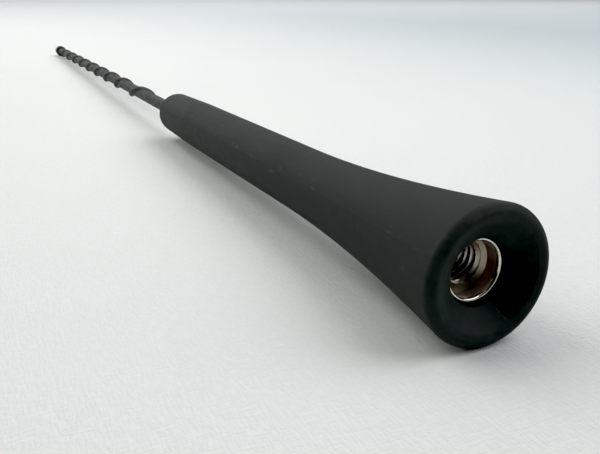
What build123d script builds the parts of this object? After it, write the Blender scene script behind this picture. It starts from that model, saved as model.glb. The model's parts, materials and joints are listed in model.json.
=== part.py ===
from build123d import *
import os
from math import acos, atan2, cos, hypot, radians, sin, sqrt, tan

# Car mast aerial lying on its side: +Y runs from the flared rubber end to the tip, +Z is up.
# The mast rests on the flare's lip and on the tip, so its axis dips a little towards the tip.
# Places along the mast ("_at") are measured from the flare's front plane.

# Whole mast and its rubber boot
overall_length = 400.0
flare_diameter = 18.3
flare_length = 49.0
lip_round = 1.2
waist_diameter = 11.4
boot_length = 131.7
boot_taper_length = 24.0
boot_top_diameter = 10.7
boot_top_round = 1.8

# Mouth of the flare: a bevelled lip, a dished face down to a round well, and a radial groove in the dish
lip_width = 1.55
lip_bevel_width = 0.65
lip_bevel_depth = 0.25
well_diameter = 9.6
well_edge_at = 2.1
groove_angle = 59.0
groove_width = 0.8
groove_depth = 0.45

# Threaded socket, for an M6 stud
socket_at = 3.3
socket_diameter = 8.0
socket_length = 16.0
rim_width = 0.4
rim_chamfer = 0.1
counterbore_depth = 2.1
countersink_depth = 0.6
thread_minor_diameter = 5.0
thread_length = 10.0
drill_point_angle = 118.0
key_width = 3.0
key_depth = 0.5

# Flex cable, crimped into the socket's tail and into the collar
cable_diameter = 3.0
cable_free_length = 20.0
cable_seat_depth = 8.0
tail_diameter = 5.4
tail_length = 10.0

# Collar between cable and rod
collar_diameter = 5.4
collar_length = 24.0
rod_seat_depth = 12.0

# Mast: steel rod in a sheath with a left-hand spiral ridge, whose first turn is longer than the rest
rod_diameter = 2.4
sleeve_diameter = 3.6
plain_stretch = 31.6
ridge_end_gap = 10.0
ridge_angle = 12.0
first_turn = 34.0
ridge_pitch = 23.3
ridge_overlap = 0.4
ridge_height = 0.75
ridge_shoulder_height = 0.45
ridge_root = 0.35
ridge_root_width = 2.4
ridge_shoulder_width = 1.7
ridge_top_width = 0.7

# Tip cap, pushed over the sheath's plain end
tip_diameter = 5.8
tip_length = 8.0
tip_wall = 2.4
tip_chamfer = 0.5

flare_radius = flare_diameter / 2
lip_crest_radius = flare_radius - lip_width
mouth_radius = lip_crest_radius - lip_bevel_width
waist_radius = waist_diameter / 2
well_radius = well_diameter / 2
socket_radius = socket_diameter / 2
thread_radius = thread_minor_diameter / 2
cable_radius = cable_diameter / 2
tail_radius = tail_diameter / 2
collar_radius = collar_diameter / 2
rod_radius = rod_diameter / 2
sleeve_radius = sleeve_diameter / 2
tip_radius = tip_diameter / 2

socket_end = socket_at + socket_length
tail_end = socket_end + tail_length
collar_at = tail_end + cable_free_length
sleeve_at = collar_at + collar_length
tip_at = overall_length - tip_length
sleeve_top = overall_length - tip_wall
boot_taper_at = boot_length - boot_taper_length
ridge_at = boot_length + plain_stretch
ridge_turn_at = ridge_at + first_turn
ridge_end = tip_at - ridge_end_gap

# The flare is an arc out of the waist, and the lip's rounding is tangent to it and to the front plane.
flare_height = flare_radius - waist_radius
flare_arc = (flare_length**2 + flare_height**2) / (2 * flare_height)
flare_center_radius = waist_radius + flare_arc
lip_center_radius = flare_center_radius - sqrt((flare_arc + lip_round) ** 2 - (flare_length - lip_round) ** 2)
# The floor touches the lip's rounding and the tip's ball: the axis dips by the angle between them.
tip_center_at = overall_length - tip_radius
contact_span = tip_center_at - lip_round
dip = acos((tip_radius - lip_round) / hypot(lip_center_radius, contact_span))
dip -= atan2(contact_span, lip_center_radius)
axis_height = lip_center_radius * cos(dip) + lip_round * sin(dip) + lip_round
# The top of the lip reaches as far towards -Y as the tip's ball does towards +Y.
lip_reach = lip_round - lip_round * cos(dip) + lip_center_radius * sin(dip)
tip_reach = tip_center_at * cos(dip) + tip_radius
front_y = (lip_reach - tip_reach) / 2
mast_axis = Axis((0, front_y, axis_height), (0, cos(dip), -sin(dip)))


def mast_plane(at, angle=0.0):
    """Plane across the mast, its x turned about the axis by an angle from level towards the floor."""
    level = Vector(1, 0, 0).rotate(mast_axis, angle)
    return Plane(mast_axis.position + mast_axis.direction * at, x_dir=level, z_dir=mast_axis.direction)


def profile_plane(angle=90.0):
    """Plane through the axis, straight down by default, for profiles of (radius, place along the mast)."""
    front = mast_plane(0.0, angle)
    return Plane(front.origin, x_dir=front.x_dir, z_dir=-front.y_dir)


os.makedirs("parts", exist_ok=True)

# Outer side of the socket, with the keying groove at its middle
key_radius = socket_radius - key_depth
key_start = socket_at + (socket_length - key_width) / 2
key_end = key_start + key_width
socket_side = [
    (socket_radius, socket_at),
    (socket_radius, key_start),
    (key_radius, key_start),
    (key_radius, key_end),
    (socket_radius, key_end),
    (socket_radius, socket_end),
]

# Rubber boot: a trumpet flare out of a parallel waist, hollow for the pieces inside and keyed on the socket
top_radius = boot_top_diameter / 2
top_step = boot_top_round * (1 - sqrt(0.5))
with BuildPart() as rubber_boot:
    with BuildSketch(profile_plane()):
        with BuildLine():
            TangentArc((waist_radius, flare_length), (flare_radius, 0), tangent=(0, -1))
            Polyline(
                (waist_radius, flare_length),
                (waist_radius, boot_taper_at),
                (top_radius, boot_length - boot_top_round),
                (top_radius - top_step, boot_length - top_step),
                (top_radius - boot_top_round, boot_length),
                (sleeve_radius, boot_length),
                (sleeve_radius, sleeve_at),
                (collar_radius, sleeve_at),
                (collar_radius, collar_at),
                (cable_radius, collar_at),
                (cable_radius, tail_end),
                (tail_radius, tail_end),
                (tail_radius, socket_end),
                *reversed(socket_side),
                (well_radius, socket_at),
                (well_radius, well_edge_at),
                (mouth_radius, lip_bevel_depth),
                (lip_crest_radius, 0),
                (flare_radius, 0),
            )
        make_face()
        fillet(vertices().sort_by(Axis.X)[-1], lip_round)
    revolve(axis=mast_axis)
    with BuildSketch(profile_plane(groove_angle)):
        with BuildLine():
            Polyline(
                (well_radius - groove_width, well_edge_at + groove_depth),
                (well_radius, well_edge_at + groove_depth),
                (mouth_radius, lip_bevel_depth + groove_depth),
                (mouth_radius, -groove_depth),
                (well_radius - groove_width, -groove_depth),
                close=True,
            )
        make_face()
    extrude(amount=groove_width / 2, both=True, mode=Mode.SUBTRACT)
rubber_boot.part.label = "rubber_boot"
export_step(rubber_boot.part, "parts/rubber_boot.step")

# Threaded socket: turned body with a keying groove, a counterbored thread and a tail bored for the cable
bore_radius = socket_radius - rim_width
countersink_at = socket_at + counterbore_depth
thread_at = countersink_at + countersink_depth
thread_end = thread_at + thread_length
drill_end = thread_end + thread_radius / tan(radians(drill_point_angle / 2))
with BuildPart() as threaded_socket:
    with BuildSketch(profile_plane()):
        with BuildLine():
            Polyline(
                *socket_side,
                (tail_radius, socket_end),
                (tail_radius, tail_end),
                (cable_radius, tail_end),
                (cable_radius, tail_end - cable_seat_depth),
                (0, tail_end - cable_seat_depth),
                (0, drill_end),
                (thread_radius, thread_end),
                (thread_radius, thread_at),
                (bore_radius, countersink_at),
                (bore_radius, socket_at),
                close=True,
            )
        make_face()
    revolve(axis=mast_axis)
    chamfer(threaded_socket.faces().sort_by(mast_axis)[0].edges(), rim_chamfer)
threaded_socket.part.label = "threaded_socket"
export_step(threaded_socket.part, "parts/threaded_socket.step")

# Flex cable: one plain round length for the whole strand
with BuildPart() as flex_cable:
    with BuildSketch(mast_plane(tail_end - cable_seat_depth)):
        Circle(cable_radius)
    extrude(amount=cable_free_length + 2 * cable_seat_depth)
flex_cable.part.label = "flex_cable"
export_step(flex_cable.part, "parts/flex_cable.step")

# Rod collar: a blind seat for the cable below and one for the rod above
with BuildPart() as rod_collar:
    with BuildSketch(profile_plane()):
        with BuildLine():
            Polyline(
                (collar_radius, collar_at),
                (collar_radius, sleeve_at),
                (rod_radius, sleeve_at),
                (rod_radius, sleeve_at - rod_seat_depth),
                (0, sleeve_at - rod_seat_depth),
                (0, collar_at + cable_seat_depth),
                (cable_radius, collar_at + cable_seat_depth),
                (cable_radius, collar_at),
                close=True,
            )
        make_face()
    revolve(axis=mast_axis)
rod_collar.part.label = "rod_collar"
export_step(rod_collar.part, "parts/rod_collar.step")

# Core rod: from its seat in the collar to the sheath's end
with BuildPart() as core_rod:
    with BuildSketch(mast_plane(sleeve_at - rod_seat_depth)):
        Circle(rod_radius)
    extrude(amount=sleeve_top - sleeve_at + rod_seat_depth)
core_rod.part.label = "core_rod"
export_step(core_rod.part, "parts/core_rod.step")

# Mast sleeve: a round sheath with the spiral ridge swept on to it in two lengths
with BuildPart() as mast_sleeve:
    with BuildSketch(mast_plane(sleeve_at)):
        Circle(sleeve_radius)
    extrude(amount=sleeve_top - sleeve_at)
    first_length = (ridge_at, ridge_turn_at + ridge_overlap, first_turn)
    other_turns = (ridge_turn_at, ridge_end, ridge_pitch)
    for start, end, pitch in (first_length, other_turns):
        ridge_plane = mast_plane(start, ridge_angle)
        ridge_helix = Edge.make_helix(pitch, end - start, sleeve_radius, lefthand=True)
        with BuildLine() as ridge_path:
            add(ridge_plane * ridge_helix)
        with BuildSketch(Plane(ridge_path.line @ 0, x_dir=ridge_plane.x_dir, z_dir=ridge_path.line % 0)):
            with BuildLine():
                Polyline(
                    (-ridge_root, -ridge_root_width / 2),
                    (ridge_shoulder_height, -ridge_shoulder_width / 2),
                    (ridge_height, -ridge_top_width / 2),
                    (ridge_height, ridge_top_width / 2),
                    (ridge_shoulder_height, ridge_shoulder_width / 2),
                    (-ridge_root, ridge_root_width / 2),
                    close=True,
                )
            make_face()
        sweep(path=ridge_path.line, is_frenet=True)
    with BuildSketch(mast_plane(sleeve_at)):
        Circle(rod_radius)
    extrude(amount=sleeve_top - sleeve_at, mode=Mode.SUBTRACT)
mast_sleeve.part.label = "mast_sleeve"
export_step(mast_sleeve.part, "parts/mast_sleeve.step")

# Tip cap: a ball-ended cap with a chamfered mouth
with BuildPart() as tip_cap:
    with BuildSketch(profile_plane()):
        with BuildLine():
            Polyline(
                (0, overall_length),
                (0, sleeve_top),
                (sleeve_radius, sleeve_top),
                (sleeve_radius, tip_at),
                (tip_radius - tip_chamfer, tip_at),
                (tip_radius, tip_at + tip_chamfer),
                (tip_radius, tip_center_at),
            )
            RadiusArc((tip_radius, tip_center_at), (0, overall_length), -tip_radius)
        make_face()
    revolve(axis=mast_axis)
tip_cap.part.label = "tip_cap"
export_step(tip_cap.part, "parts/tip_cap.step")
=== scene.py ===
import json
from functools import reduce
from math import acos, atan2, ceil, pi, radians, sin, sqrt, tan

import bmesh
import bpy
import numpy as np
from mathutils import Matrix, Vector


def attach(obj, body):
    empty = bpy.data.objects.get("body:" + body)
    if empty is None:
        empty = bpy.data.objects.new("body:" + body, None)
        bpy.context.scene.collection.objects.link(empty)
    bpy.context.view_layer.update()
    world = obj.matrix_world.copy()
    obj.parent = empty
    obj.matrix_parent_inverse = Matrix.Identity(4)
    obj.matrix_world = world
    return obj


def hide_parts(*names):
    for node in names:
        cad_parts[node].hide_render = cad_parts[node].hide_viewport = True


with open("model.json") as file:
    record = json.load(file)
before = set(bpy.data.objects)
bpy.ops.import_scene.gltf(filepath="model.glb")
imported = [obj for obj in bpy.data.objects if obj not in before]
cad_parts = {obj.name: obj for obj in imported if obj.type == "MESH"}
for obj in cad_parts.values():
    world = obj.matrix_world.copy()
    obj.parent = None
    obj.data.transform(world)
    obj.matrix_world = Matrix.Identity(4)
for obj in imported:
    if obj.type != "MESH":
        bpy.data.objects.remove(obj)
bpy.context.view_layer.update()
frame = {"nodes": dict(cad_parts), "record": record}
mount = frame["record"]["mounts"][0]

# Sizes of the part in mm, as its solids have them apart from a finer lip, mouth and countersink.
# Places along the mast are counted from the flare's front plane, turns round it from +X upwards.
MM = 0.001
OVERALL = 400.0

# Boot, outside
FLARE_RADIUS = 9.02
FLARE_LENGTH = 49.0
LIP_WIDTH = 1.02
LIP_DEPTH = 0.8
LIP_ROUND = 0.9
CREST_RADIUS = FLARE_RADIUS - LIP_WIDTH
CREST_ROUND = 0.8
WAIST_RADIUS = 5.7
BOOT_LENGTH = 131.7
TAPER_LENGTH = 24.0
TAPER_AT = BOOT_LENGTH - TAPER_LENGTH
TAPER_ROUND = 600.0
TOP_RADIUS = 5.35
TOP_ROUND = 1.8
CROWN_HEIGHT = 0.4 * TOP_ROUND

# Mouth of the boot, and the radial groove in it
DISH_RADIUS = 7.0
DISH_AT = 0.33
DISH_ROUND = 0.3
WELL_RADIUS = 4.3
WELL_AT = 2.45
WELL_EDGE_ROUND = 0.15
WELL_FLOOR_ROUND = 0.12
GROOVE_TURN = radians(-59.0)
GROOVE_WIDTH = 0.8
GROOVE_WALL = 0.08
GROOVE_DEPTH = 0.45
GROOVE_RADIUS = 6.55
GROOVE_RUN_OUT = 0.8
RUN_OUT_SHARE = 0.3

# Parting line of the boot's mould: its height varies along it, by waves of (share, rate, phase)
SEAM_TURN = radians(156.0)
SEAM_TURNS = (SEAM_TURN, SEAM_TURN + pi)
SEAM_HEIGHT = 0.03
SEAM_HALF_WIDTH = 0.11
SEAM_FADE_IN = 2.0
SEAM_FADE_OUT = 3.0
SEAM_MEAN = 0.55
SEAM_WAVES = ((0.25, 0.9, 0.0), (0.2, 2.3, 1.0))

# Socket
SOCKET_AT = 3.3
SOCKET_LENGTH = 16.0
SOCKET_END = SOCKET_AT + SOCKET_LENGTH
SOCKET_RADIUS = 4.0
RIM_WIDTH = 0.4
RIM_INNER_ROUND = 0.3
RIM_OUTER_ROUND = 0.1
BORE_RADIUS = SOCKET_RADIUS - RIM_WIDTH
KEY_WIDTH = 3.0
KEY_DEPTH = 0.5
KEY_START = SOCKET_AT + (SOCKET_LENGTH - KEY_WIDTH) / 2
KEY_END = KEY_START + KEY_WIDTH
KEY_RADIUS = SOCKET_RADIUS - KEY_DEPTH
TAIL_RADIUS = 2.7
TAIL_LENGTH = 10.0
TAIL_END = SOCKET_END + TAIL_LENGTH
CABLE_RADIUS = 1.5
CABLE_SEAT_DEPTH = 8.0
CABLE_SEAT_AT = TAIL_END - CABLE_SEAT_DEPTH

# Thread in the socket, with its flats as shares of the pitch
COUNTERSINK_AT = 5.5
THREAD_AT = 6.0
THREAD_LENGTH = mount["dims"]["length_mm"]
THREAD_END = THREAD_AT + THREAD_LENGTH
THREAD_MINOR = mount["dims"]["r_mm"]
THREAD_PITCH = 1.0
THREAD_DEPTH = 0.52
THREAD_CREST_AT = 6.47
THREAD_CREST_FLAT = 1 / 4
THREAD_ROOT_FLAT = 1 / 8
THREAD_RUN_OUT = 0.6
DRILL_POINT = 1.5

# Inner pieces, where they give the boot and the mast their hollows
CABLE_FREE_LENGTH = 20.0
COLLAR_AT = TAIL_END + CABLE_FREE_LENGTH
COLLAR_LENGTH = 24.0
COLLAR_RADIUS = 2.7
ROD_RADIUS = 1.2

# Tip
TIP_RADIUS = 2.9
TIP_LENGTH = 8.0
TIP_AT = OVERALL - TIP_LENGTH
TIP_MIDDLE = OVERALL - TIP_RADIUS
TIP_WALL = 2.4
TIP_CHAMFER = 0.5
TIP_INNER_ROUND = 0.2
TIP_OUTER_ROUND = 0.3

# Sheath of the mast, and the spiral ridge on it
SLEEVE_RADIUS = 1.8
SLEEVE_AT = COLLAR_AT + COLLAR_LENGTH
SLEEVE_TOP = OVERALL - TIP_WALL
PLAIN_STRETCH = 31.6
FIRST_TURN = 34.0
RIDGE_PITCH = 23.3
RIDGE_END_GAP = 10.0
RIDGE_AT = BOOT_LENGTH + PLAIN_STRETCH
RIDGE_PITCH_AT = RIDGE_AT + FIRST_TURN
RIDGE_END = TIP_AT - RIDGE_END_GAP
RIDGE_TURN = radians(-12.0)
RIDGE_HEIGHT = 0.75
RIDGE_HALF_WIDTH = 0.95
RIDGE_SQUARENESS = 3.2
RIDGE_RUN_OUT = 3.0

# Fineness of the meshes: steps in mm or radians, counts, and the weld in metres
ROUND_STEP = radians(7.5)
FEWEST_STEPS = 3
LONGEST_STEP = 4.0
COUNTERSINK_STEP = 0.06
THREAD_STEP = 0.05
RIDGE_STEP = 0.45
RIDGE_LEAD = 1.0
BALL_LEAD = 0.01
GROOVE_SPAN = radians(7.0)
GROOVE_STEP = radians(0.35)
SEAM_SPAN = radians(1.8)
SEAM_STEP = radians(0.3)
LIP_POINTS = 12
FLARE_POINTS = 16
BALL_POINTS = 13
BOOT_SIDES = 168
SOCKET_SIDES = 120
MAST_SIDES = 64
TURN_DIGITS = 6
WELD = 1e-8
SHARP_EDGE = radians(32.0)
SHARP_RIDGE = radians(60.0)

# The mast's own axes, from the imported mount: its thread points out of the flared end
ALONG = -Vector(mount["axis"]).normalized()
SIDE = Vector((1.0, 0.0, 0.0))
UP = SIDE.cross(ALONG)
FRONT = Vector(mount["pos_m"]) - ALONG * MM * (THREAD_AT + THREAD_LENGTH / 2)


def unit(values):
    """The values held between 0 and 1."""
    return np.clip(values, 0.0, 1.0)


def even_steps(start, end, step):
    """Evenly spaced numbers from start to end."""
    return np.linspace(start, end, round(abs(end - start) / step) + 1)


def even_turns(count):
    """Evenly spaced turns round the mast."""
    return np.arange(count) * 2 * pi / count


def turn_distance(turn, centre):
    """Signed angle from centre, between -pi and pi."""
    return (turn - centre + pi) % (2 * pi) - pi


def mast_points(radius, turn, along):
    """Points of the frame, in metres, for mm from the mast's axis, turns round it and mm along it."""
    radius, turn, along = (values[..., None] for values in (radius, turn, along))
    across = radius * (np.cos(turn) * np.array(SIDE) + np.sin(turn) * np.array(UP))
    return np.array(FRONT) + MM * (across + along * np.array(ALONG))


def rounded(corners):
    """A path of (radius, along) through corners, where a corner's third number is its rounding.

    The first and the last corner stay sharp."""
    path = []
    for i, corner in enumerate(corners):
        here = Vector(corner[:2])
        if len(corner) == 2:
            path.append(tuple(here))
            continue
        rounding = corner[2]
        back = (Vector(corners[i - 1][:2]) - here).normalized()
        on = (Vector(corners[i + 1][:2]) - here).normalized()
        half = acos(max(-1.0, min(1.0, back.dot(on)))) / 2
        reach = rounding / tan(half)
        middle = here + (back + on).normalized() * (rounding / sin(half))
        first = here + back * reach - middle
        sweep = first.angle_signed(here + on * reach - middle)
        count = max(FEWEST_STEPS, ceil((pi - 2 * half) / ROUND_STEP))
        for k in range(count + 1):
            path.append(tuple(middle + Matrix.Rotation(-sweep * k / count, 2) @ first))
    return path


def arc(middle, radius, start, end, count):
    """Points of (radius, along) on an arc, from one angle to another."""
    angles = np.linspace(start, end, count)
    return [(middle[0] + radius * np.cos(a), middle[1] + radius * np.sin(a)) for a in angles]


def divided(path, longest):
    """The same path with no step longer than given."""
    out = [path[0]]
    for a, b in zip(path, path[1:]):
        a, b = np.array(a), np.array(b)
        count = max(1, ceil(np.linalg.norm(b - a) / longest))
        out += [tuple(a + (b - a) * k / count) for k in range(1, count + 1)]
    return out


def turned(name, path, turns, shape=None, sharp=SHARP_EDGE):
    """A turned piece: a closed path carried round the mast, varied by shape(radius, turn, along)."""
    path = np.array(path)
    radius, turn = np.meshgrid(path[:, 0], turns, indexing="ij")
    along = np.repeat(path[:, 1:2], len(turns), axis=1)
    if shape:
        radius, along = shape(radius, turn, along)
    points = mast_points(radius, turn, along).reshape(-1, 3)
    ring = np.arange(radius.size).reshape(radius.shape)
    next_ring = np.roll(ring, -1, axis=0)
    corners = [ring, np.roll(ring, -1, axis=1), np.roll(next_ring, -1, axis=1), next_ring]
    quads = np.stack(corners, axis=2).reshape(-1, 4)
    mesh = bpy.data.meshes.new(name)
    mesh.from_pydata(points.tolist(), [], quads.tolist())
    for label, values in (("mast_along", along), ("mast_turn", turn), ("mast_radius", radius)):
        attribute = mesh.attributes.new(label, "FLOAT", "POINT")
        attribute.data.foreach_set("value", values.astype(np.float32).ravel())
    work = bmesh.new()
    work.from_mesh(mesh)
    bmesh.ops.remove_doubles(work, verts=work.verts, dist=WELD)
    bmesh.ops.recalc_face_normals(work, faces=work.faces)
    work.to_mesh(mesh)
    work.free()
    mesh.shade_smooth()
    mesh.set_sharp_from_angle(angle=sharp)
    piece = bpy.data.objects.new(name, mesh)
    bpy.context.scene.collection.objects.link(piece)
    return piece


class Look:
    """A procedural material under construction, on its principled shader."""

    # The Mix node's colour sockets, which share their names with its number sockets
    MIX_UNDER = 6
    MIX_OVER = 7
    MIX_RESULT = 2

    def __init__(self, name):
        self.material = bpy.data.materials.new(name)
        self.material.use_nodes = True
        self.nodes = self.material.node_tree.nodes
        self.links = self.material.node_tree.links
        self.shader = self.nodes["Principled BSDF"]
        self.place = self.nodes.new("ShaderNodeTexCoord").outputs["Object"]

    def join(self, socket, value):
        """Links another node's output to a socket, or sets the socket to a plain value."""
        if isinstance(value, bpy.types.NodeSocket):
            self.links.new(value, socket)
        else:
            socket.default_value = value

    def feed(self, **values):
        """Links or sets the shader's own sockets, named with _ for a space."""
        for label, value in values.items():
            self.join(self.shader.inputs[label.replace("_", " ")], value)

    def math(self, operation, *values):
        """One step of arithmetic."""
        node = self.nodes.new("ShaderNodeMath")
        node.operation = operation
        for socket, value in zip(node.inputs, values):
            self.join(socket, value)
        return node.outputs[0]

    def product(self, *values):
        """Two or more values multiplied."""
        return reduce(lambda a, b: self.math("MULTIPLY", a, b), values)

    def total(self, *values):
        """Two or more values added."""
        return reduce(lambda a, b: self.math("ADD", a, b), values)

    def grade(self, value, none_at, full_at, none=0.0, full=1.0):
        """A smooth step: none where the value is none_at, and full where it is full_at."""
        node = self.nodes.new("ShaderNodeMapRange")
        node.interpolation_type = "SMOOTHSTEP"
        self.join(node.inputs["Value"], value)
        ends = sorted(((none_at, none), (full_at, full)))
        for label, (place, level) in zip(("Min", "Max"), ends):
            node.inputs["From " + label].default_value = place
            node.inputs["To " + label].default_value = level
        return node.outputs["Result"]

    def blend(self, share, under, over):
        """A share of one colour over another, each linked or plain red, green and blue."""
        node = self.nodes.new("ShaderNodeMix")
        node.data_type = "RGBA"
        self.join(node.inputs["Factor"], share)
        for index, color in ((self.MIX_UNDER, under), (self.MIX_OVER, over)):
            linked = isinstance(color, bpy.types.NodeSocket)
            self.join(node.inputs[index], color if linked else (*color, 1.0))
        return node.outputs[self.MIX_RESULT]

    def noise(self, scale, detail=3.0, roughness=0.6, stretch=None):
        """Noise in the object's space, finer along an axis whose stretch is above 1."""
        place = self.place
        if stretch:
            scaled = self.nodes.new("ShaderNodeVectorMath")
            scaled.operation = "MULTIPLY"
            self.links.new(place, scaled.inputs[0])
            scaled.inputs[1].default_value = stretch
            place = scaled.outputs[0]
        node = self.nodes.new("ShaderNodeTexNoise")
        self.links.new(place, node.inputs["Vector"])
        node.inputs["Scale"].default_value = scale
        node.inputs["Detail"].default_value = detail
        node.inputs["Roughness"].default_value = roughness
        return node.outputs["Fac"]

    def cells(self, scale):
        """The distance from the nearest of many scattered points, and that point's own colour."""
        node = self.nodes.new("ShaderNodeTexVoronoi")
        self.links.new(self.place, node.inputs["Vector"])
        node.inputs["Scale"].default_value = scale
        return node.outputs["Distance"], node.outputs["Color"]

    def bands(self, value, scale, distortion):
        """Uneven bands along a value."""
        place = self.nodes.new("ShaderNodeCombineXYZ")
        self.links.new(value, place.inputs["X"])
        node = self.nodes.new("ShaderNodeTexWave")
        node.wave_type = "BANDS"
        node.bands_direction = "X"
        self.links.new(place.outputs[0], node.inputs["Vector"])
        node.inputs["Scale"].default_value = scale
        node.inputs["Distortion"].default_value = distortion
        return node.outputs["Fac"]

    def attribute(self, name):
        """A value that the mesh holds at its points."""
        node = self.nodes.new("ShaderNodeAttribute")
        node.attribute_name = name
        return node.outputs["Fac"]

    def bump(self, height, depth, strength):
        """Fine relief, with its depth in mm."""
        node = self.nodes.new("ShaderNodeBump")
        node.inputs["Strength"].default_value = strength
        node.inputs["Distance"].default_value = depth * MM
        self.join(node.inputs["Height"], height)
        return node.outputs["Normal"]


# Colours of the materials, as linear red, green and blue
RUBBER_DARK = (0.0124, 0.0164, 0.0147)
RUBBER_LIGHT = (0.0256, 0.0331, 0.0302)
RUBBER_WORN = (0.075, 0.082, 0.077)
RUBBER_SPECK = (0.16, 0.165, 0.155)
PLATE_RIM = (0.82, 0.8, 0.75)
PLATE_WALL = (0.5, 0.405, 0.365)
PLATE_SEAT = (0.36, 0.31, 0.24)
PLATE_THREAD = (0.5, 0.48, 0.43)
PLATE_STAIN = (0.2, 0.15, 0.12)
SHEATH_DARK = (0.0102, 0.0122, 0.0117)
SHEATH_LIGHT = (0.0205, 0.024, 0.023)
CAP_DARK = (0.028, 0.029, 0.027)
CAP_LIGHT = (0.045, 0.045, 0.042)
STEEL_CABLE = (0.42, 0.42, 0.41)
STEEL_ROD = (0.48, 0.48, 0.49)
BRASS = (0.62, 0.47, 0.22)
CLOTH_DULL = (0.8, 0.812, 0.795)
CLOTH_PALE = (0.84, 0.85, 0.83)
CLOTH_GAPS = (0.5, 0.52, 0.52)

# How far marks cover the colour under them, at the most
SCUFF_COVER = 0.4
LIP_WEAR_COVER = 0.22
SPECK_COVER = 0.45
STAIN_COVER = 0.35
WEAVE_COVER = 0.1


def boot_rubber():
    """Near black moulded rubber: mottled, scuffed by the parting line, worn at the lip and specked."""
    look = Look("boot_rubber")
    along = look.attribute("mast_along")
    radius = look.attribute("mast_radius")

    blotch = look.product(look.noise(70.0, detail=4.0, roughness=0.55), 0.4)
    streak = look.product(look.noise(60.0, stretch=(14.0, 1.0, 14.0)), 0.25)
    fleck = look.product(look.noise(420.0), 0.35)
    tone = look.grade(look.total(blotch, streak, fleck), 0.38, 0.64)
    color = look.blend(tone, RUBBER_DARK, RUBBER_LIGHT)

    seam_angle = look.math("SUBTRACT", look.attribute("mast_turn"), SEAM_TURN)
    from_seam = look.product(look.math("ABSOLUTE", look.math("SINE", seam_angle)), radius)
    near_seam = look.grade(from_seam, none_at=2.6, full_at=0.2)
    scuff = look.grade(look.noise(800.0, stretch=(1.0, 0.3, 1.0)), 0.58, 0.72)
    on_side = look.grade(along, none_at=3.0, full_at=8.0)
    color = look.blend(look.product(near_seam, scuff, on_side, SCUFF_COVER), color, RUBBER_WORN)

    past_crest = look.grade(radius, none_at=CREST_RADIUS, full_at=CREST_RADIUS + 0.4)
    near_front = look.grade(along, none_at=2.4, full_at=1.2)
    wear = look.grade(look.noise(260.0), 0.54, 0.7)
    lip_wear = look.product(past_crest, near_front, wear, LIP_WEAR_COVER)
    color = look.blend(lip_wear, color, RUBBER_WORN)

    distance, pick = look.cells(620.0)
    speck = look.grade(distance, none_at=0.13, full_at=0.05)
    picked = look.grade(pick, 0.905, 0.93)
    color = look.blend(look.product(speck, picked, SPECK_COVER), color, RUBBER_SPECK)

    look.feed(
        Base_Color=color,
        Roughness=look.grade(tone, 0.0, 1.0, none=0.62, full=0.74),
        Normal=look.bump(look.noise(5200.0), depth=0.06, strength=0.55),
        Specular_IOR_Level=0.25,
    )
    return look.material


def plated_socket():
    """Nickel plate: bright at the rim, with turning marks, and darker and browner down the bore."""
    look = Look("plated_socket")
    along = look.attribute("mast_along")
    in_bore = look.grade(along, SOCKET_AT + 0.25, SOCKET_AT + 0.9)
    on_seat = look.grade(along, COUNTERSINK_AT - 0.15, COUNTERSINK_AT + 0.05)
    in_thread = look.grade(along, THREAD_AT, THREAD_AT + 0.6)
    stain = look.grade(look.noise(420.0, roughness=0.55), 0.35, 0.7, full=STAIN_COVER)
    # The colour turns darker and browner from the rim down into the bore
    color = look.blend(in_bore, PLATE_RIM, PLATE_WALL)
    color = look.blend(on_seat, color, PLATE_SEAT)
    color = look.blend(in_thread, color, PLATE_THREAD)
    color = look.blend(stain, color, PLATE_STAIN)
    before_seat = look.grade(along, none_at=COUNTERSINK_AT, full_at=COUNTERSINK_AT - 0.4)
    tarnish = look.product(in_bore, before_seat)
    polish = look.grade(in_bore, 0.0, 1.0, none=0.12, full=0.28)
    marks = look.bands(look.total(look.attribute("mast_radius"), along), scale=4.0, distortion=0.6)
    look.feed(
        Base_Color=color,
        Roughness=look.total(polish, look.product(tarnish, 0.2)),
        Metallic=look.grade(tarnish, 0.0, 1.0, none=1.0, full=0.75),
        Normal=look.bump(marks, depth=0.004, strength=0.4),
    )
    return look.material


def satin_plastic(name, dark, light, smoothest, roughest, specular, scale, stretch=None):
    """Black satin plastic with a faint variation of tone and gloss."""
    look = Look(name)
    tone = look.grade(look.noise(scale, stretch=stretch), 0.35, 0.7)
    look.feed(
        Base_Color=look.blend(tone, dark, light),
        Roughness=look.grade(tone, 0.0, 1.0, none=smoothest, full=roughest),
        Normal=look.bump(look.noise(2600.0, detail=2.0, roughness=0.5), depth=0.03, strength=0.35),
        Specular_IOR_Level=specular,
    )
    return look.material


def drawn_metal(name, color, smoothest, roughest):
    """Metal with fine marks along the mast."""
    look = Look(name)
    marks = look.noise(500.0, stretch=(9.0, 0.4, 9.0))
    darker = [0.8 * level for level in color]
    look.feed(
        Base_Color=look.blend(look.grade(marks, 0.3, 0.7), darker, color),
        Roughness=look.grade(marks, 0.3, 0.7, none=smoothest, full=roughest),
        Normal=look.bump(marks, depth=0.02, strength=0.3),
        Metallic=1.0,
    )
    return look.material


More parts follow.
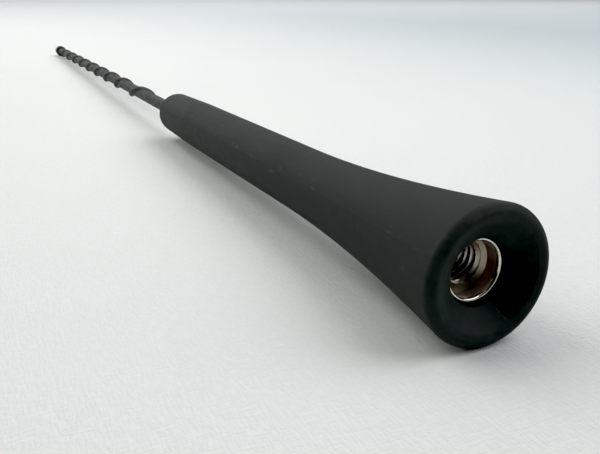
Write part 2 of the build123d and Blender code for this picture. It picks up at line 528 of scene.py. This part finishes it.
def pale_cloth():
    """Plain pale cloth with a faint weave, and broad gradients of painted shade, places in metres."""
    look = Look("pale_floor")
    place = look.nodes.new("ShaderNodeSeparateXYZ")
    look.links.new(look.place, place.inputs[0])
    color = look.blend(look.noise(9.0, roughness=0.5), CLOTH_DULL, CLOTH_PALE)
    # Painted shade: darker and cooler to the right, darker to the left, the near side and far off
    for axis, none_at, full_at, shade in (
        ("X", -0.04, 0.5, (0.49, 0.53, 0.56)),
        ("X", 0.02, -0.17, (0.66, 0.665, 0.655)),
        ("Y", -0.06, -0.4, (0.6, 0.61, 0.61)),
        ("Y", 0.0, 1.2, (0.64, 0.66, 0.665)),
    ):
        color = look.blend(look.grade(place.outputs[axis], none_at, full_at), color, shade)
    warp = look.noise(2600.0, detail=2.0, roughness=0.5, stretch=(1.0, 0.22, 1.0))
    weft = look.noise(2600.0, detail=2.0, roughness=0.5, stretch=(0.22, 1.0, 1.0))
    weave = look.grade(look.total(warp, weft), 0.75, 1.25)
    look.feed(
        Base_Color=look.blend(look.product(weave, WEAVE_COVER), color, CLOTH_GAPS),
        Roughness=0.9,
        Normal=look.bump(weave, depth=0.15, strength=0.3),
        Specular_IOR_Level=0.15,
    )
    return look.material


# Rubber boot: the mouth, the bevelled lip, the trumpet flare, and the parting line of its mould
def flare_outline():
    """The lip's rounding and the trumpet's arc, which touch each other, from the bevel to the waist."""
    rise = FLARE_RADIUS - WAIST_RADIUS
    run = FLARE_LENGTH - LIP_DEPTH
    trumpet_radius = (run**2 + rise**2) / (2 * rise)
    trumpet_middle = Vector((WAIST_RADIUS + trumpet_radius, FLARE_LENGTH))
    bevel = Vector((-LIP_WIDTH, -LIP_DEPTH)).normalized()
    inward = Vector((-LIP_DEPTH, LIP_WIDTH)).normalized()
    offset = Vector((FLARE_RADIUS, LIP_DEPTH)) + inward * LIP_ROUND - trumpet_middle
    along_bevel = offset.dot(bevel)
    apart = trumpet_radius + LIP_ROUND
    slide = sqrt(along_bevel**2 - offset.length_squared + apart**2) - along_bevel
    lip_middle = trumpet_middle + offset + bevel * slide
    lean = atan2(trumpet_middle.y - lip_middle.y, trumpet_middle.x - lip_middle.x)
    lip = arc(lip_middle, LIP_ROUND, atan2(-inward.y, -inward.x), lean, LIP_POINTS)
    trumpet = arc(trumpet_middle, trumpet_radius, pi + lean, pi, FLARE_POINTS)
    return lip + trumpet[1:-1]


def mouth_outline():
    """The well round the socket's rim and the dish, with points where the groove runs out."""
    dish_run = Vector((DISH_RADIUS - WELL_RADIUS, DISH_AT - WELL_AT))
    groove_end = Vector((WELL_RADIUS, WELL_AT)) + dish_run * (GROOVE_RADIUS - WELL_RADIUS) / dish_run.x
    run_out_start = groove_end - dish_run * RUN_OUT_SHARE
    corners = [
        (SOCKET_RADIUS, SOCKET_AT),
        (WELL_RADIUS, SOCKET_AT, WELL_FLOOR_ROUND),
        (WELL_RADIUS, WELL_AT, WELL_EDGE_ROUND),
        tuple(run_out_start),
        tuple(groove_end),
        (DISH_RADIUS, DISH_AT, DISH_ROUND),
        (CREST_RADIUS, 0.0, CREST_ROUND),
        (FLARE_RADIUS, LIP_DEPTH),
    ]
    return rounded(corners)[:-1]


def boot_shape(radius, turn, along):
    """Sinks the groove into the dish and raises the parting line on two sides."""
    from_groove = turn_distance(turn, GROOVE_TURN)
    in_groove = (np.abs(from_groove) < pi / 2) & (along < WELL_AT + WELL_EDGE_ROUND)
    off = np.abs(np.sin(from_groove)) * radius
    wall = unit((GROOVE_WIDTH / 2 + GROOVE_WALL / 2 - off) / GROOVE_WALL)
    run_out = unit((GROOVE_RADIUS - radius) / GROOVE_RUN_OUT)
    sunk = along + np.where(in_groove, wall * run_out * GROOVE_DEPTH, 0.0)

    from_seams = [turn_distance(turn, seam) * radius for seam in SEAM_TURNS]
    ridge = sum(np.exp(-((gap / SEAM_HALF_WIDTH) ** 2)) for gap in from_seams)
    fade_in = unit((along - LIP_ROUND) / SEAM_FADE_IN)
    fade_out = unit((BOOT_LENGTH - along) / SEAM_FADE_OUT)
    worn = SEAM_MEAN + sum(share * np.sin(rate * along + phase) for share, rate, phase in SEAM_WAVES)
    raised = SEAM_HEIGHT * ridge * fade_in * fade_out * worn
    return radius + np.where(radius > TOP_RADIUS - TOP_ROUND, raised, 0.0), sunk


boot_top = rounded(
    [
        (WAIST_RADIUS, FLARE_LENGTH),
        (WAIST_RADIUS, TAPER_AT, TAPER_ROUND),
        (TOP_RADIUS, BOOT_LENGTH - CROWN_HEIGHT, TOP_ROUND),
        (SLEEVE_RADIUS, BOOT_LENGTH),
    ]
)
boot_inside = [
    (SLEEVE_RADIUS, SLEEVE_AT),
    (COLLAR_RADIUS, SLEEVE_AT),
    (COLLAR_RADIUS, COLLAR_AT),
    (CABLE_RADIUS, COLLAR_AT),
    (CABLE_RADIUS, TAIL_END),
    (TAIL_RADIUS, TAIL_END),
    (TAIL_RADIUS, SOCKET_END),
    (SOCKET_RADIUS, SOCKET_END),
    (SOCKET_RADIUS, KEY_END),
    (KEY_RADIUS, KEY_END),
    (KEY_RADIUS, KEY_START),
    (SOCKET_RADIUS, KEY_START),
]
boot_path = divided(mouth_outline() + flare_outline() + boot_top, LONGEST_STEP) + boot_inside
boot_turns = [even_turns(BOOT_SIDES), GROOVE_TURN + even_steps(-GROOVE_SPAN, GROOVE_SPAN, GROOVE_STEP)]
boot_turns += [seam + even_steps(-SEAM_SPAN, SEAM_SPAN, SEAM_STEP) for seam in SEAM_TURNS]
boot_turns = np.unique(np.round(np.concatenate(boot_turns) % (2 * pi), TURN_DIGITS))
rubber_boot = turned("moulded_boot", boot_path, boot_turns, boot_shape)
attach(rubber_boot, "root")
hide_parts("rubber_boot")
rubber_boot.data.materials.append(boot_rubber())


# Threaded socket: the turned insert with its thin rim, and the thread cut into its bore
def socket_shape(radius, turn, along):
    """Cuts a right-hand thread into the bore and the countersink, running out at its deep end."""
    phase = ((along - THREAD_CREST_AT) / THREAD_PITCH + turn / (2 * pi)) % 1.0
    flank_end = (1 - THREAD_CREST_FLAT) / 2
    flank = flank_end - THREAD_ROOT_FLAT / 2
    groove = unit((flank_end - np.abs(phase - 0.5)) / flank)
    run_out = unit((THREAD_END - along) / THREAD_RUN_OUT)
    cut = np.maximum(radius, THREAD_MINOR + THREAD_DEPTH * groove * run_out)
    return np.where(along < THREAD_END, cut, radius), along


socket_path = rounded(
    [
        (BORE_RADIUS, COUNTERSINK_AT),
        (BORE_RADIUS, SOCKET_AT, RIM_INNER_ROUND),
        (SOCKET_RADIUS, SOCKET_AT, RIM_OUTER_ROUND),
        (SOCKET_RADIUS, KEY_START),
        (KEY_RADIUS, KEY_START),
        (KEY_RADIUS, KEY_END),
        (SOCKET_RADIUS, KEY_END),
        (SOCKET_RADIUS, SOCKET_END),
        (TAIL_RADIUS, SOCKET_END),
        (TAIL_RADIUS, TAIL_END),
        (CABLE_RADIUS, TAIL_END),
        (CABLE_RADIUS, CABLE_SEAT_AT),
        (0.0, CABLE_SEAT_AT),
        (0.0, THREAD_END + DRILL_POINT),
    ]
)
countersink = [(THREAD_MINOR, THREAD_AT), (BORE_RADIUS, COUNTERSINK_AT)]
socket_path += [(THREAD_MINOR, at) for at in even_steps(THREAD_END, THREAD_AT, THREAD_STEP)[:-1]]
socket_path += divided(countersink, COUNTERSINK_STEP)[:-1]
threaded_socket = turned("thread_insert", socket_path, even_turns(SOCKET_SIDES), socket_shape)
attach(threaded_socket, "root")
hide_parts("threaded_socket")
threaded_socket.data.materials.append(plated_socket())


# Mast sheath: the spiral ridge is a soft rib with one long first turn, which runs out at both ends
def sheath_shape(radius, turn, along):
    """Raises the spiral ridge on the sheath's outside."""
    early = along < RIDGE_PITCH_AT
    pitch = np.where(early, FIRST_TURN, RIDGE_PITCH)
    start = np.where(early, RIDGE_AT, RIDGE_PITCH_AT)
    crest = RIDGE_TURN + 2 * pi * (along - start) / pitch
    slope = pitch / np.hypot(pitch, 2 * pi * SLEEVE_RADIUS)
    off = turn_distance(turn, crest) * SLEEVE_RADIUS * slope
    rise = RIDGE_HEIGHT * np.exp(-(np.abs(off / RIDGE_HALF_WIDTH) ** RIDGE_SQUARENESS))
    fade = unit((along - RIDGE_AT) / RIDGE_RUN_OUT) * unit((RIDGE_END - along) / RIDGE_RUN_OUT)
    return radius + rise * fade * fade * (3.0 - 2.0 * fade), along


sheath_path = [(SLEEVE_RADIUS, at) for at in (SLEEVE_AT, BOOT_LENGTH, RIDGE_AT - RIDGE_LEAD)]
sheath_path += [(SLEEVE_RADIUS, at) for at in even_steps(RIDGE_AT, RIDGE_END, RIDGE_STEP)]
sheath_path += [(SLEEVE_RADIUS, SLEEVE_TOP), (ROD_RADIUS, SLEEVE_TOP), (ROD_RADIUS, SLEEVE_AT)]
mast_sleeve = turned("ridged_sheath", sheath_path, even_turns(MAST_SIDES), sheath_shape, SHARP_RIDGE)
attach(mast_sleeve, "root")
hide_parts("mast_sleeve")
mast_sleeve.data.materials.append(
    satin_plastic(
        "sleeve_plastic",
        SHEATH_DARK,
        SHEATH_LIGHT,
        smoothest=0.46,
        roughest=0.6,
        specular=0.2,
        scale=160.0,
        stretch=(5.0, 1.0, 5.0),
    )
)

# Tip cap: a ball end, and a softly broken edge at its mouth. A ring close before the ball keeps the
# shading of the straight side straight.
tip_path = rounded(
    [
        (SLEEVE_RADIUS, SLEEVE_TOP),
        (SLEEVE_RADIUS, TIP_AT),
        (TIP_RADIUS - TIP_CHAMFER, TIP_AT, TIP_INNER_ROUND),
        (TIP_RADIUS, TIP_AT + TIP_CHAMFER, TIP_OUTER_ROUND),
        (TIP_RADIUS, TIP_MIDDLE - BALL_LEAD),
    ]
)
tip_path += arc((0.0, TIP_MIDDLE), TIP_RADIUS, 0.0, pi / 2, BALL_POINTS)[:-1]
tip_path += [(0.0, OVERALL), (0.0, SLEEVE_TOP)]
tip_cap = turned("ball_tip", tip_path, even_turns(MAST_SIDES))
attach(tip_cap, "root")
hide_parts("tip_cap")
tip_cap.data.materials.append(
    satin_plastic(
        "cap_plastic",
        CAP_DARK,
        CAP_LIGHT,
        smoothest=0.34,
        roughest=0.48,
        specular=0.5,
        scale=300.0,
    )
)

# Metal pieces inside the boot and the sheath
for node, color, smoothest, roughest in (
    ("flex_cable", STEEL_CABLE, 0.38, 0.5),
    ("rod_collar", BRASS, 0.3, 0.42),
    ("core_rod", STEEL_ROD, 0.28, 0.4),
):
    slots = frame["nodes"][node].data.materials
    slots.clear()
    slots.append(drawn_metal(node, color, smoothest, roughest))

# Floor, in metres
FLOOR_SIDE = 6.0
FLOOR_FAR = 9.0
floor_corners = [
    (-FLOOR_SIDE, -FLOOR_SIDE, 0.0),
    (FLOOR_SIDE, -FLOOR_SIDE, 0.0),
    (FLOOR_SIDE, FLOOR_FAR, 0.0),
    (-FLOOR_SIDE, FLOOR_FAR, 0.0),
]
floor_mesh = bpy.data.meshes.new("floor")
floor_mesh.from_pydata(floor_corners, [], [(0, 1, 2, 3)])
floor = bpy.data.objects.new("floor", floor_mesh)
bpy.context.scene.collection.objects.link(floor)
floor_mesh.materials.append(pale_cloth())


# Broad soft lights from the right, from behind and from overhead, in a nearly dark room
def soft_light(name, toward, distance, radiance, color):
    """A disk that shines on the boot from a direction, as wide as its distance from it."""
    disk_area = pi * (distance / 2) ** 2
    lamp = bpy.data.lights.new(name, "AREA")
    lamp.shape = "DISK"
    lamp.size = distance
    lamp.color = color
    lamp.energy = radiance * pi * disk_area
    light = bpy.data.objects.new(name, lamp)
    boot_middle = FRONT + ALONG * MM * BOOT_LENGTH / 2
    light.location = boot_middle + Vector(toward).normalized() * distance
    light.rotation_euler = (-Vector(toward)).to_track_quat("-Z", "Y").to_euler()
    bpy.context.scene.collection.objects.link(light)


WHITE = (1.0, 1.0, 1.0)
soft_light("right", (0.92, -0.38, 1.0), distance=3.0, radiance=2.95, color=(0.95, 0.985, 1.0))
soft_light("back_left", (-0.71, 0.71, 0.9), distance=1.8, radiance=2.65, color=(1.0, 1.0, 0.97))
soft_light("back_right", (0.71, 0.71, 1.0), distance=2.4, radiance=1.1, color=(0.97, 0.99, 1.0))
soft_light("back", (0.0, 1.0, 0.3), distance=2.4, radiance=0.95, color=WHITE)
soft_light("overhead", (0.0, 0.0, 1.0), distance=2.0, radiance=0.55, color=WHITE)
world = bpy.data.worlds.new("room")
world.use_nodes = True
room_light = world.node_tree.nodes["Background"].inputs
room_light["Color"].default_value = (0.9, 0.96, 1.0, 1.0)
room_light["Strength"].default_value = 0.03
bpy.context.scene.world = world

# The picture's black point lies a little above zero, as in the dark parts of the photograph
BLACK_POINT = 0.0135
picture = bpy.context.scene.view_settings
picture.view_transform = "Standard"
picture.use_curve_mapping = True
picture.curve_mapping.black_level = (BLACK_POINT, BLACK_POINT, BLACK_POINT)
picture.curve_mapping.update()

# Camera at the photograph's angle, in metres, with its focal length in pixels
IMAGE_WIDTH = 600.0
FOCAL_LENGTH = 665.0
CAMERA_PLACE = (-0.04946, -0.2524, 0.040203)
CAMERA_AIM = (0.40563, 0.84865, -0.3395)
camera_data = bpy.data.cameras.new("camera")
camera_data.sensor_width = 36.0
camera_data.lens = FOCAL_LENGTH / IMAGE_WIDTH * camera_data.sensor_width
camera_data.clip_start = 0.005
camera_data.clip_end = 50.0
camera = bpy.data.objects.new("camera", camera_data)
camera.location = CAMERA_PLACE
camera.rotation_euler = Vector(CAMERA_AIM).to_track_quat("-Z", "Y").to_euler()
bpy.context.scene.collection.objects.link(camera)
bpy.context.scene.camera = camera
